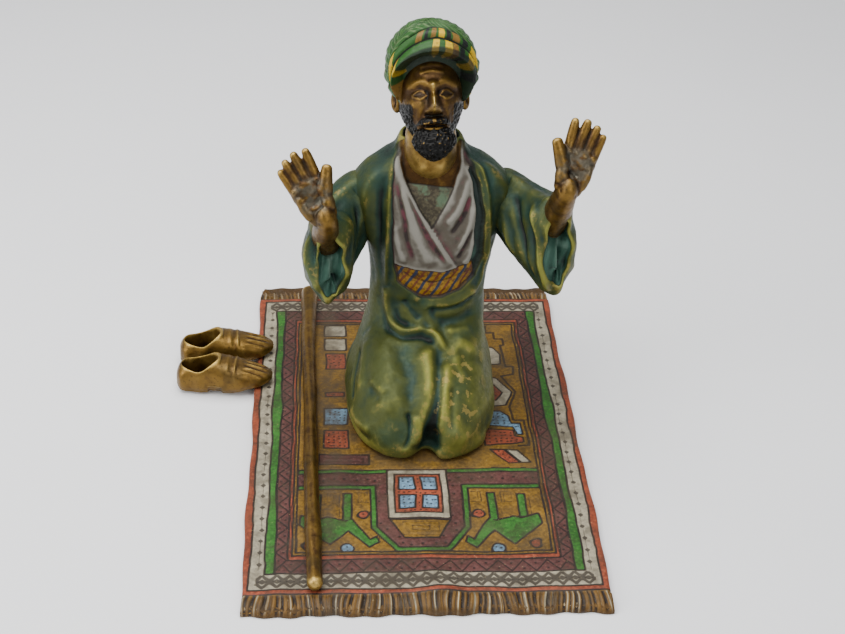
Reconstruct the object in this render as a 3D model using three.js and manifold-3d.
// Cold-painted bronze statuette: a man kneeling in prayer on a small carpet, with his staff and his slippers
// beside him. It is built as separate castings held together by tenons, studs, screws and pins.
// Millimetres, +Z up. The man faces -Y. Everything is laid out from the centre of the carpet's flat
// underside, and the finished model is then moved so that the origin is the middle of its whole footprint.
// "Right" and "left" are the man's own: his right arm is on the -X side.

import * as THREE from "three";
import { mergeVertices } from "three/addons/utils/BufferGeometryUtils.js";
import Module from "manifold-3d";

const wasm = await Module();
wasm.setup();

// ---------------------------------------------------------------- driving dimensions

const GAP = 0.3; // clearance between two castings that touch
const END_BULGE = 0.55; // how far a bar's rounded end stands out, as a share of its half thickness
// The carpet's long sides are chamfered by `edge`, and its ends slope over the fringe down to the hem.
const CARPET = { width: 112, length: 178, thickness: 3, wave: 0.7, waves: 7, edge: 0.5, fringe: 7, hem: 1.4 };
const FLOOR = CARPET.thickness + GAP; // what stands on the carpet starts here
const WALL = 3.2; // wall of the hollow casting
const FAR = 100; // reach of a cutting block that only has to pass the object's edge

const SCREW = { shank: 1.5, head: 3.1, headHeight: 1.3, slot: 0.7, slotDepth: 0.5 };
const PIN = { shank: 0.8, head: 1.7, headHeight: 0.8, reach: 2.4, bore: 2.8 }; // reach and bore above FLOOR

// The robed body is a stack of rounded sections: centre x, y of each, height z, and the reach to the sides,
// to the front and to the back.
const ROBE_SECTIONS = [
  { x: 2.2, y: 14, z: FLOOR, side: 25.2, front: 35.6, back: 36.0 },
  { x: 2.2, y: 14, z: 9.0, side: 26.4, front: 36.6, back: 35.0 },
  { x: 2.4, y: 15, z: 17.0, side: 25.4, front: 35.0, back: 32.5 },
  { x: 2.8, y: 18, z: 25.0, side: 22.8, front: 31.0, back: 26.5 },
  { x: 3.4, y: 22, z: 32.0, side: 21.4, front: 24.0, back: 20.0 },
  { x: 4.0, y: 24, z: 37.5, side: 20.4, front: 16.0, back: 16.0 },
  { x: 4.2, y: 25, z: 44.0, side: 19.8, front: 13.2, back: 14.2 },
  { x: 4.3, y: 25, z: 52.0, side: 20.2, front: 14.0, back: 13.6 },
  { x: 4.4, y: 25, z: 64.0, side: 21.8, front: 15.0, back: 13.6 },
  { x: 4.4, y: 25, z: 76.0, side: 25.0, front: 15.2, back: 13.4 },
  { x: 4.3, y: 25, z: 85.0, side: 27.2, front: 13.4, back: 12.6 },
  { x: 4.0, y: 25, z: 92.0, side: 22.6, front: 11.0, back: 11.6 },
  { x: 3.6, y: 25, z: 98.0, side: 13.4, front: 10.0, back: 10.4 },
  { x: 3.4, y: 25, z: 103.0, side: 10.4, front: 8.6, back: 9.6 },
];
const CORE_SECTIONS = 9; // the casting is hollow up to this section, below the arms' sockets
const KNEE_NOTCH = { depth: 7.5, width: 4.2, x: 2.4, top: 32 }; // the fold between the knees, up to a height

const HEAD = { x: 2.4, y: 21, z: 120.2, side: 11.2, depth: 13.8, height: 16.6, tilt: -25 };
const NECK = { radius: 6.6, foot: [3.4, 24.5, 92], top: [2.6, 21, 114] };
const NECK_PIN = { x: 3.2, z: 97, hole: [12, 38], pin: [19, 33.5] }; // y of the ends of the hole and the pin
const TURBAN_STUD = { from: 128, to: 141, hole: 142 };
const BEARD = { x: 2.6, y: 8.4, z: 110.8, side: 7.2, depth: 5.0, height: 7.4, tilt: -25 };
const TURBAN = { x: 2.4, y: 23, z: 129.4, side: 15.2, depth: 16.8, height: 15.2, rim: 118, tilt: -14 };
// The arch over the face: a round bar from front to back, and everything below it.
const BROW = { from: [2.4, -5, 131], to: [2.4, 15, 126], radius: 11.5 };

// Each sleeve runs from its socket in the shoulder to its open mouth; sections are upright ellipses whose
// height and width grow towards the mouth.
const SLEEVES = {
  right: {
    path: [[-11, 25, 83], [-20, 25, 79], [-27, 18, 72], [-30, 8, 69], [-29, -3, 69]],
    height: [9, 10.5, 13, 15.5, 17.2],
    width: [8, 8.5, 9, 8.6, 7.6],
    lean: [0, 0, 6, 14, 17],
  },
  left: {
    path: [[20, 25, 83], [28.5, 25, 80], [36, 18, 76], [42, 8, 74], [45, -3, 75]],
    height: [9, 10.5, 13.5, 17, 19.6],
    width: [8, 8.5, 9, 8.8, 7.8],
    lean: [0, 0, 2, -2, -4],
  },
};
const SLEEVE_WALL = 2.0;
const SLEEVE_MOUTH_Y = -2; // every sleeve is cut off square here, which opens its mouth
const SLEEVE_HOLLOW_FROM = 0.52; // share of the sleeve's length that stays solid, and holds the arm's tenon

// Each arm is one casting with its hand: tenon, elbow, wrist, then a palm and five fingers.
const ARMS = {
  right: {
    path: [[-24, 23, 73], [-27, 18, 66], [-29.5, 9, 63], [-31, 1, 73], [-31.3, -2.4, 86]],
    palm: { up: [-0.5, 0.34, 0.8], thumbSide: 1 },
  },
  left: {
    path: [[33, 23, 77], [36.5, 18, 71], [41, 9, 70], [43.5, 1, 81], [45.1, -2.4, 97]],
    palm: { up: [0.33, 0.34, 0.9], thumbSide: -1 },
  },
};
const ARM_RADII = [2.6, 3.0, 4.8, 4.9, 3.6];
const PALM = { length: 14.2, width: 11.5, thickness: 4.6 };
const FINGERS = [
  { name: "index", across: 4.1, length: 10.4, radius: 1.6, splay: 8 },
  { name: "middle", across: 1.35, length: 11.4, radius: 1.65, splay: 1 },
  { name: "ring", across: -1.5, length: 10.6, radius: 1.55, splay: -4 },
  { name: "little", across: -4.2, length: 8.6, radius: 1.4, splay: -9 },
];
const THUMB = { length: 12.5, radius: 1.9, splay: 38, start: -8.5 };

const STAFF = {
  path: [[-34.2, -83], [-35.6, -40], [-36.4, 0], [-37.6, 44], [-37.6, 82]],
  radii: [2.4, 2.3, 2.2, 2.3, 2.9],
  pinsAt: [0.12, 0.86],
};

// A slipper, heel at x 0 and toe towards +x: height of the sole and of the top line, and half the width.
const SLIPPER_SECTIONS = [
  { x: 0.0, sole: 2.4, top: 8.0, half: 2.8 },
  { x: 2.5, sole: 0.2, top: 10.2, half: 5.0 },
  { x: 8.0, sole: 0.0, top: 11.2, half: 5.8 },
  { x: 14.0, sole: 0.2, top: 13.2, half: 6.0 },
  { x: 19.0, sole: 0.2, top: 12.2, half: 6.3 },
  { x: 25.0, sole: 2.2, top: 10.6, half: 6.0 },
  { x: 30.0, sole: 3.7, top: 9.0, half: 4.8 },
  { x: 34.0, sole: 4.8, top: 7.6, half: 2.2 },
];
const SLIPPERS = {
  near: { heel: [-84.6, 27.0, 0], turn: -4 },
  far: { heel: [-84.8, 41.4, 0], turn: 4 },
};
const SLIPPER_PIN_AT = 32.2; // from the heel, over the carpet's edge
const SLIPPER_WELL = { x: 8.8, z: 10.8, length: 5.9, width: 4.3, depth: 8.2 };

const FEET = { right: -8.5, left: 13.5 }; // x of each foot; they lie soles up, toes to the back
const FOOT = { y: 44, z: 7.6, half: 4.6, length: 13.0, height: 4.0 };

const BODY_SCREWS = { right: [-8, 6], left: [13, 6] };
const BODY_SCREW_LENGTH = 11.5;
const BOSS = { radius: 4.2, top: 40, tapped: 13 }; // the bosses that the body screws turn into

const COLOURS = {
  patina: { color: 0x7a5a2c, roughness: 0.42, metalness: 0.9 },
  robe: { color: 0x445a30, roughness: 0.4, metalness: 0.35 },
  turban: { color: 0x3f8a3c, roughness: 0.45, metalness: 0.1 },
  carpet: { color: 0x7a5440, roughness: 0.55, metalness: 0.2 },
  brass: { color: 0xa88a4a, roughness: 0.35, metalness: 1.0 },
  steel: { color: 0x8a8a86, roughness: 0.4, metalness: 1.0 },
};

// ---------------------------------------------------------------- solids

const vector = (p) => new THREE.Vector3(...p);
const degrees = THREE.MathUtils.degToRad;

// A closed geometry as a manifold-3d solid.
function solid(geometry) {
  const bare = geometry.clone();
  for (const name of Object.keys(bare.attributes)) if (name !== "position") bare.deleteAttribute(name);
  const merged = mergeVertices(bare, 1e-4);
  return new wasm.Manifold(
    new wasm.Mesh({
      numProp: 3,
      vertProperties: merged.attributes.position.array,
      triVerts: new Uint32Array(merged.index.array),
    }),
  );
}

// A manifold-3d solid as a geometry, with flat shading.
function geometryOf(made) {
  const mesh = made.getMesh();
  const points = new Float32Array(mesh.numVert * 3);
  for (let i = 0; i < mesh.numVert; i++) {
    points.set(mesh.vertProperties.subarray(i * mesh.numProp, i * mesh.numProp + 3), i * 3);
  }
  const geometry = new THREE.BufferGeometry()
    .setAttribute("position", new THREE.BufferAttribute(points, 3))
    .setIndex(new THREE.BufferAttribute(new Uint32Array(mesh.triVerts), 1));
  geometry.computeVertexNormals();
  return geometry;
}

const cut = (body, ...tools) => tools.reduce((left, tool) => left.subtract(tool), body);
const join = (body, ...others) => others.reduce((sum, other) => sum.add(other), body);

// A closed surface: a sphere's grid whose points are placed by place(angle, share), where angle runs
// counter-clockwise seen from above and share from 0 at the bottom to 1 at the top. At both ends place must
// give one point for every angle.
function closedSurface(around, rows, place) {
  const geometry = new THREE.SphereGeometry(1, around, rows);
  const { position, uv } = geometry.attributes;
  for (let i = 0; i < position.count; i++) {
    const row = Math.round(uv.getY(i) * rows);
    const atPole = row === 0 || row === rows;
    const column = atPole ? 0 : Math.round(uv.getX(i) * around) % around;
    const angle = Math.PI + (2 * Math.PI * column) / around;
    const p = place(angle, row / rows);
    position.setXYZ(i, p.x, p.y, p.z);
  }
  return geometry;
}

// The side of a rounded section at an angle: an ellipse pushed out towards a box by `square`.
function rounded(angle, square) {
  const c = Math.cos(angle);
  const s = Math.sin(angle);
  const power = 2 / square;
  return [Math.sign(c) * Math.abs(c) ** power, Math.sign(s) * Math.abs(s) ** power];
}

// A stack of sections with flat ends. `inset` shrinks it all round, `drop` lowers its bottom, `square`
// squares its corners and `dent` moves points along y.
function stacked(sections, { around, rows, inset = 0, drop = 0, square = 2.5, dent }) {
  const centre = new THREE.CatmullRomCurve3(sections.map((s) => new THREE.Vector3(s.x, s.y, s.z)));
  const reach = new THREE.CatmullRomCurve3(sections.map((s) => new THREE.Vector3(s.side, s.front, s.back)));
  return closedSurface(around, rows + 2, (angle, share) => {
    const row = Math.round(share * (rows + 2));
    const t = Math.min(Math.max((row - 1) / rows, 0), 1);
    const c = centre.getPoint(t);
    const r = reach.getPoint(t);
    const z = c.z - drop * (t === 0);
    if (row === 0 || row === rows + 2) return new THREE.Vector3(c.x, c.y, z);
    const [ux, uy] = rounded(angle, square);
    const x = c.x + ux * (r.x - inset);
    const y = c.y + uy * ((uy < 0 ? r.y : r.z) - inset);
    return new THREE.Vector3(x, y + dent(x, uy, z), z);
  });
}

// A round or oval bar along a path, with rounded ends. half(share) gives [half width, half height],
// lean(share) turns the section about the path, and `from` is the share of the path where the bar starts.
function bar(points, half, { around, rows, lean = () => 0, grow = 0, from = 0 }) {
  const curve = new THREE.CatmullRomCurve3(points.map(vector));
  const up = new THREE.Vector3(0, 0, 1);
  const ends = 2; // rows spent on rounding each end
  return closedSurface(around, rows, (angle, share) => {
    const row = Math.round(share * rows);
    const t = from + (1 - from) * THREE.MathUtils.clamp((row - ends) / (rows - 2 * ends), 0, 1);
    const [w, h] = half(t).map((v) => v + grow);
    const dir = curve.getTangent(t);
    const fromEnd = Math.min(row, rows - row) / ends;
    const bulge = fromEnd < 1 ? Math.min(w, h) * END_BULGE * (1 - fromEnd) * (row < ends ? -1 : 1) : 0;
    const shrink = fromEnd >= 1 ? 1 : Math.sqrt(1 - (1 - fromEnd) ** 2);
    const side = new THREE.Vector3().crossVectors(dir, up).normalize();
    const top = new THREE.Vector3().crossVectors(side, dir).normalize();
    const turn = angle + degrees(lean(t));
    return curve
      .getPoint(t)
      .addScaledVector(dir, bulge)
      .addScaledVector(side, Math.cos(turn) * w * shrink * -1)
      .addScaledVector(top, Math.sin(turn) * h * shrink);
  });
}

// A closed geometry as a solid that faces out, whichever way round its grid was laid.
function outward(geometry) {
  const made = solid(geometry);
  if (made.volume() > 0) return made;
  const index = geometry.index.array;
  for (let i = 0; i < index.length; i += 3) [index[i + 1], index[i + 2]] = [index[i + 2], index[i + 1]];
  return solid(geometry);
}

// A value that runs smoothly through a list, at a share of its length.
function along(list, share) {
  const at = share * (list.length - 1);
  const i = Math.min(Math.floor(at), list.length - 2);
  const eased = 0.4 * THREE.MathUtils.smoothstep(at - i, 0, 1) + 0.6 * (at - i);
  return THREE.MathUtils.lerp(list[i], list[i + 1], eased);
}

function ellipsoid({ x, y, z, side, depth, height, tilt = 0 }, around = 20, rows = 11, grow = 0) {
  const geometry = new THREE.SphereGeometry(1, around, rows)
    .rotateX(Math.PI / 2)
    .scale(side + grow, depth + grow, height + grow)
    .rotateX(degrees(tilt))
    .translate(x, y, z);
  return solid(geometry);
}

// A cylinder from one point to another.
function rod(from, to, radius, sides = 12) {
  const a = vector(from);
  const b = vector(to);
  const geometry = new THREE.CylinderGeometry(radius, radius, a.distanceTo(b), sides);
  const direction = b.clone().sub(a).normalize();
  const turn = new THREE.Quaternion().setFromUnitVectors(new THREE.Vector3(0, 1, 0), direction);
  geometry.applyQuaternion(turn).translate(...a.add(b).multiplyScalar(0.5).toArray());
  return solid(geometry);
}

// A box between two corners.
function block(low, high) {
  const size = vector(high).sub(vector(low));
  const middle = vector(high).add(vector(low)).multiplyScalar(0.5);
  return solid(new THREE.BoxGeometry(...size.toArray()).translate(...middle.toArray()));
}

// ---------------------------------------------------------------- fasteners

// A slotted cheese-head screw that stands up from z, head down.
function screw([x, y], z, length) {
  const { shank, head, headHeight, slot, slotDepth } = SCREW;
  const cap = rod([x, y, z], [x, y, z + headHeight], head, 16);
  const stem = rod([x, y, z + headHeight / 2], [x, y, z + length], shank);
  const driver = block([x - head - 1, y - slot / 2, z - 1], [x + head + 1, y + slot / 2, z + slotDepth]);
  return cut(join(cap, stem), driver);
}

// The hole that a screw or pin needs through the carpet, with a counterbore for its head.
function drilled([x, y], { shank, head, headHeight }) {
  return join(
    rod([x, y, -1], [x, y, FLOOR], shank + GAP),
    rod([x, y, -1], [x, y, headHeight + 2 * GAP], head + GAP, 16),
  );
}

// A headed pin from the carpet's underside up into what it holds, and the blind hole that it goes into there.
function rivet([x, y]) {
  return join(
    rod([x, y, GAP], [x, y, GAP + PIN.headHeight], PIN.head, 12),
    rod([x, y, GAP + PIN.headHeight / 2], [x, y, FLOOR + PIN.reach], PIN.shank, 8),
  );
}
const rivetHole = ([x, y]) => rod([x, y, 0], [x, y, FLOOR + PIN.bore], PIN.shank + GAP, 8);

// A plain pin between two points, and the hole for it.
const pin = (from, to) => rod(from, to, PIN.shank, 8);
const pinHole = (from, to) => rod(from, to, PIN.shank + GAP, 8);

// ---------------------------------------------------------------- castings

// The carpet's plate: straight long sides, gently waved ends, and fringes that slope down to the table.
function carpetPlate() {
  const { width, length, thickness, wave, waves, edge, fringe, hem } = CARPET;
  const steps = 21;
  const outline = [];
  for (const end of [-1, 1]) {
    for (let i = 0; i <= steps; i++) {
      const t = i / steps;
      const y = length / 2 - edge - wave * Math.sin(t * waves * Math.PI) ** 2;
      outline.push(new THREE.Vector2(-end * (t - 0.5) * (width - 2 * edge), end * y));
    }
  }
  const plate = new THREE.ExtrudeGeometry(new THREE.Shape(outline), {
    depth: thickness - edge,
    bevelThickness: edge,
    bevelSize: edge,
    bevelSegments: 1,
  });
  const half = length / 2;
  const flat = half - fringe;
  const side = [[-half, 0], [half, 0], [half, hem], [flat, thickness], [-flat, thickness], [-half, hem]];
  const sideShape = new THREE.Shape(side.map((p) => new THREE.Vector2(...p)));
  const profile = new THREE.ExtrudeGeometry(sideShape, { depth: width, bevelEnabled: false })
    .rotateX(Math.PI / 2)
    .rotateZ(Math.PI / 2)
    .translate(-width / 2, 0, 0);
  return solid(plate).intersect(solid(profile));
}

const staffCurve = new THREE.CatmullRomCurve3(STAFF.path.map(([x, y]) => new THREE.Vector3(x, y, 0)));
const staffPoint = (share) => staffCurve.getPoint(share);

function staff() {
  const lifted = STAFF.path.map(([x, y], i) => [x, y, FLOOR + STAFF.radii[i]]);
  const radius = (share) => along(STAFF.radii, share);
  return outward(bar(lifted, (share) => [radius(share), radius(share)], { around: 8, rows: 14 }));
}

// The fold between the knees: it draws the front of the robe back near its middle, less and less upwards.
function kneeNotch(x, frontness, z) {
  if (frontness > 0) return 0;
  const fade = Math.max(0, 1 - z / KNEE_NOTCH.top) ** 1.2;
  return KNEE_NOTCH.depth * fade * -frontness * Math.exp(-(((x - KNEE_NOTCH.x) / KNEE_NOTCH.width) ** 2));
}

function foot(x, grow = 0) {
  const { y, z, half, length, height } = FOOT;
  const aboveCarpet = block([x - FAR, y - FAR, FLOOR], [x + FAR, y + FAR, FAR]);
  return ellipsoid({ x, y, z, side: half, depth: length, height }, 12, 8, grow).intersect(aboveCarpet);
}

// Robe, knees, chest and shoulders in one hollow casting, with sockets for the sleeves, neck and feet.
function robedBody() {
  const outer = solid(stacked(ROBE_SECTIONS, { around: 36, rows: 20, square: 2.4, dent: kneeNotch }));
  const inside = { around: 18, rows: 9, inset: WALL, drop: 2, dent: kneeNotch };
  const core = solid(stacked(ROBE_SECTIONS.slice(0, CORE_SECTIONS), inside));
  const { radius, top, tapped } = BOSS;
  const post = ([x, y]) => rod([x, y, FLOOR], [x, y, top], radius).intersect(outer);
  const bosses = Object.values(BODY_SCREWS).map(post);
  const thread = ([x, y]) => rod([x, y, 0], [x, y, tapped], SCREW.shank + GAP);
  const threads = Object.values(BODY_SCREWS).map(thread);
  return cut(
    join(cut(outer, core), ...bosses),
    ...threads,
    ...Object.values(FEET).map((x) => foot(x, GAP)),
    sleeveBody("right", GAP),
    sleeveBody("left", GAP),
    neck(GAP),
    beard(GAP),
    sleevePinHole("right"),
    sleevePinHole("left"),
    pinHole(...neckPin(NECK_PIN.hole)),
  );
}

const sleeveHalf = (side) => (share) => {
  const { width, height } = SLEEVES[side];
  return [along(width, share), along(height, share)];
};
const sleeveLean = (side) => (share) => along(SLEEVES[side].lean, share);

function sleeveBody(side, grow = 0) {
  const { path } = SLEEVES[side];
  const options = { around: 18, rows: 12, lean: sleeveLean(side), grow };
  return outward(bar(path, sleeveHalf(side), options));
}

function arm(side, grow = 0) {
  const radius = (share) => along(ARM_RADII, share);
  const half = (share) => [radius(share), radius(share)];
  return outward(bar(ARMS[side].path, half, { around: 10, rows: 11, grow }));
}

// Open-ended sleeve: solid towards the shoulder, hollow towards the mouth.
function sleeve(side) {
  const body = sleeveBody(side);
  const hollow = outward(
    bar([...SLEEVES[side].path.slice(0, -1), mouthBeyond(side)], sleeveHalf(side), {
      around: 14,
      rows: 9,
      lean: sleeveLean(side),
      grow: -SLEEVE_WALL,
      from: SLEEVE_HOLLOW_FROM,
    }),
  );
  const mouthCut = block([-FAR, SLEEVE_MOUTH_Y - FAR, 0], [FAR, SLEEVE_MOUTH_Y, 2 * FAR]);
  return cut(body, hollow, mouthCut, arm(side, GAP), palm(side, GAP), sleevePinHole(side), armPinHole(side));
}

// The end of a sleeve's path carried on past its mouth, so that the hollow runs right out.
function mouthBeyond(side) {
  const [x, y, z] = SLEEVES[side].path.at(-1);
  return [x, y - 8, z];
}

// One pin through the shoulder into the sleeve, and one through the sleeve into the arm's tenon.
const shoulderPin = (side) => {
  const [x, y, z] = SLEEVES[side].path[0];
  return [[x, y, z - 4], [x, y + 17, z - 4]];
};
const tenonPin = (side) => {
  const [x, y, z] = ARMS[side].path[1];
  return [[x, y, z - 1], [x, y + 9, z + 6]];
};
const sleevePinHole = (side) => pinHole(...shoulderPin(side));
const armPinHole = (side) => pinHole(...tenonPin(side));

// The frame of a hand: across it towards the thumb, up along it, and out of its palm.
function handFrame(side) {
  const { path, palm } = ARMS[side];
  const wrist = vector(path.at(-1));
  const up = vector(palm.up).normalize();
  const across = new THREE.Vector3(palm.thumbSide, 0, 0);
  across.addScaledVector(up, -across.dot(up)).normalize();
  const facing = new THREE.Vector3().crossVectors(across, up).normalize();
  if (facing.y > 0) facing.negate();
  const at = (a, u, f = 0) =>
    wrist.clone().addScaledVector(across, a).addScaledVector(up, u).addScaledVector(facing, f).toArray();
  return { across, at };
}

function palm(side, grow = 0) {
  const { across, at } = handFrame(side);
  const half = (share) => [
    THREE.MathUtils.lerp(3.8, PALM.width / 2, Math.min(1, share * 1.6)) + grow,
    PALM.thickness / 2 + grow,
  ];
  return orientedBar([at(0, -2), at(0, 4), at(0, PALM.length)], half, across);
}

// A palm and five fingers on the end of the arm, the palm facing front and up.
function hand(side) {
  const { across, at } = handFrame(side);
  const fingers = FINGERS.map(({ across: a, length, radius, splay }) => {
    const turn = degrees(splay);
    const reach = (d) => [a + Math.sin(turn) * d, PALM.length - 2 + Math.cos(turn) * d];
    const points = [at(...reach(-2)), at(...reach(length * 0.5), 0.3), at(...reach(length), 1.2)];
    return orientedBar(points, () => [radius, radius], across, 6, 8);
  });
  const turn = degrees(THUMB.splay);
  const reach = (d) => [3.2 + Math.sin(turn) * d, PALM.length + THUMB.start + Math.cos(turn) * d];
  const thumbPoints = [at(...reach(-2)), at(...reach(5), 0.8), at(...reach(THUMB.length), 1.4)];
  const thumb = orientedBar(thumbPoints, () => [THUMB.radius, THUMB.radius], across, 6, 8);
  return cut(join(arm(side), palm(side), ...fingers, thumb), armPinHole(side));
}

// A bar whose section's width always lies along `across`.
function orientedBar(points, half, across, around = 12, rows = 9) {
  const curve = new THREE.CatmullRomCurve3(points.map(vector));
  const ends = 2;
  return outward(
    closedSurface(around, rows, (angle, share) => {
      const row = Math.round(share * rows);
      const t = THREE.MathUtils.clamp((row - ends) / (rows - 2 * ends), 0, 1);
      const [w, h] = half(t);
      const dir = curve.getTangent(t);
      const fromEnd = Math.min(row, rows - row) / ends;
      const bulge = fromEnd < 1 ? h * 0.8 * (1 - fromEnd) * (row < ends ? -1 : 1) : 0;
      const shrink = fromEnd >= 1 ? 1 : Math.sqrt(1 - (1 - fromEnd) ** 2);
      const side = across.clone().addScaledVector(dir, -across.dot(dir)).normalize();
      const depth = new THREE.Vector3().crossVectors(dir, side).normalize();
      return curve
        .getPoint(t)
        .addScaledVector(dir, bulge)
        .addScaledVector(side, Math.cos(angle) * w * shrink)
        .addScaledVector(depth, Math.sin(angle) * h * shrink);
    }),
  );
}

const neck = (grow = 0) => rod(NECK.foot, NECK.top, NECK.radius + grow, 18);
const beard = (grow = 0) => ellipsoid(BEARD, 14, 8, grow);
const neckPin = ([from, to]) => [[NECK_PIN.x, from, NECK_PIN.z], [NECK_PIN.x, to, NECK_PIN.z]];
const studHole = () => {
  const { x, y } = TURBAN;
  return rod([x, y, TURBAN_STUD.from - GAP], [x, y, TURBAN_STUD.hole], PIN.shank + GAP, 8);
};

// Skull, neck and beard in one casting.
function head() {
  return cut(join(ellipsoid(HEAD), neck(), beard()), pinHole(...neckPin(NECK_PIN.hole)), studHole());
}

function turban() {
  const { x, rim } = TURBAN;
  const aboveRim = block([x - FAR, -FAR, rim], [x + FAR, FAR, rim + FAR]);
  const { from, to, radius } = BROW;
  const belowArch = block([x - radius, -FAR, 0], [x + radius, to[1], to[2]]);
  const wound = ellipsoid(TURBAN, 24, 14).intersect(aboveRim);
  return cut(wound, ellipsoid(HEAD, 20, 11, GAP), rod(from, to, radius, 24), belowArch, studHole());
}

// A slipper in its own frame: rounded sections along x, an open well for the foot and a step before the heel.
function slipper() {
  const centre = new THREE.CatmullRomCurve3(
    SLIPPER_SECTIONS.map((s) => new THREE.Vector3(s.x, (s.top + s.sole) / 2, (s.top - s.sole) / 2)),
  );
  const halves = new THREE.CatmullRomCurve3(SLIPPER_SECTIONS.map((s) => new THREE.Vector3(s.half, 0, 0)));
  const rows = 12;
  const upper = outward(
    closedSurface(14, rows, (angle, share) => {
      const row = Math.round(share * rows);
      const t = THREE.MathUtils.clamp((row - 1) / (rows - 2), 0, 1);
      const c = centre.getPoint(t);
      const bulge = row === 0 ? -0.6 : row === rows ? 0.5 : 0;
      if (row === 0 || row === rows) return new THREE.Vector3(c.x + bulge, 0, c.y);
      const [uy, uz] = rounded(angle, 2.6);
      return new THREE.Vector3(c.x, uy * halves.getPoint(t).x, c.y + uz * c.z);
    }),
  );
  const { x, z, length, width, depth } = SLIPPER_WELL;
  const well = ellipsoid({ x, y: 0, z: z + 2, side: length, depth: width, height: depth + 2 }, 12, 8);
  const step = block([11.2, -8, -1], [16.5, 8, 0.9]);
  return cut(upper, well, step);
}

const placedSlipper = ({ heel, turn }) => slipper().rotate([0, 0, turn]).translate(heel);

const slipperPinAt = ({ heel: [x, y], turn }) => [
  x + SLIPPER_PIN_AT * Math.cos(degrees(turn)),
  y + SLIPPER_PIN_AT * Math.sin(degrees(turn)),
];

// ---------------------------------------------------------------- assembly

const model = new THREE.Group();

function add(name, made, look) {
  const mesh = new THREE.Mesh(geometryOf(made), new THREE.MeshStandardMaterial(COLOURS[look]));
  mesh.name = name;
  model.add(mesh);
}

const staffPins = STAFF.pinsAt.map((share) => staffPoint(share).toArray().slice(0, 2));
const slipperPins = { near: slipperPinAt(SLIPPERS.near), far: slipperPinAt(SLIPPERS.far) };

add(
  "carpet",
  cut(
    carpetPlate(),
    ...Object.values(BODY_SCREWS).map((at) => drilled(at, SCREW)),
    ...staffPins.map((at) => drilled(at, PIN)),
    ...Object.values(slipperPins).map((at) => drilled(at, PIN)),
  ),
  "carpet",
);
add("staff", cut(staff(), ...staffPins.map(rivetHole)), "patina");
["near", "far"].forEach((side, i) => {
  add(`staff_pin_${side}`, rivet(staffPins[i]), "brass");
  add(`slipper_${side}`, cut(placedSlipper(SLIPPERS[side]), rivetHole(slipperPins[side])), "brass");
  add(`slipper_pin_${side}`, rivet(slipperPins[side]), "brass");
});

add("robed_body", robedBody(), "robe");
add("head", head(), "patina");
add("turban", turban(), "turban");
const studEnd = (z) => [TURBAN.x, TURBAN.y, z];
add("turban_stud", pin(studEnd(TURBAN_STUD.from), studEnd(TURBAN_STUD.to)), "brass");
add("neck_pin", pin(...neckPin(NECK_PIN.pin)), "brass");

for (const side of ["right", "left"]) {
  add(`sleeve_${side}`, sleeve(side), "robe");
  add(`hand_${side}`, hand(side), "patina");
  add(`foot_${side}`, foot(FEET[side]), "patina");
  add(`body_screw_${side}`, screw(BODY_SCREWS[side], GAP, BODY_SCREW_LENGTH), "steel");
  const [a, b] = shoulderPin(side);
  add(`sleeve_pin_${side}`, pin([a[0], a[1] + 1, a[2]], [b[0], b[1] - 7, b[2]]), "brass");
  const [c, d] = tenonPin(side).map(vector);
  const part = (share) => c.clone().lerp(d, share).toArray();
  add(`arm_pin_${side}`, pin(part(0.08), part(0.72)), "brass");
}

// The origin goes to the middle of the whole object's footprint, on the surface it stands on.
const footprint = new THREE.Box3().setFromObject(model).getCenter(new THREE.Vector3());
model.position.set(-footprint.x, -footprint.y, 0);

export default model;
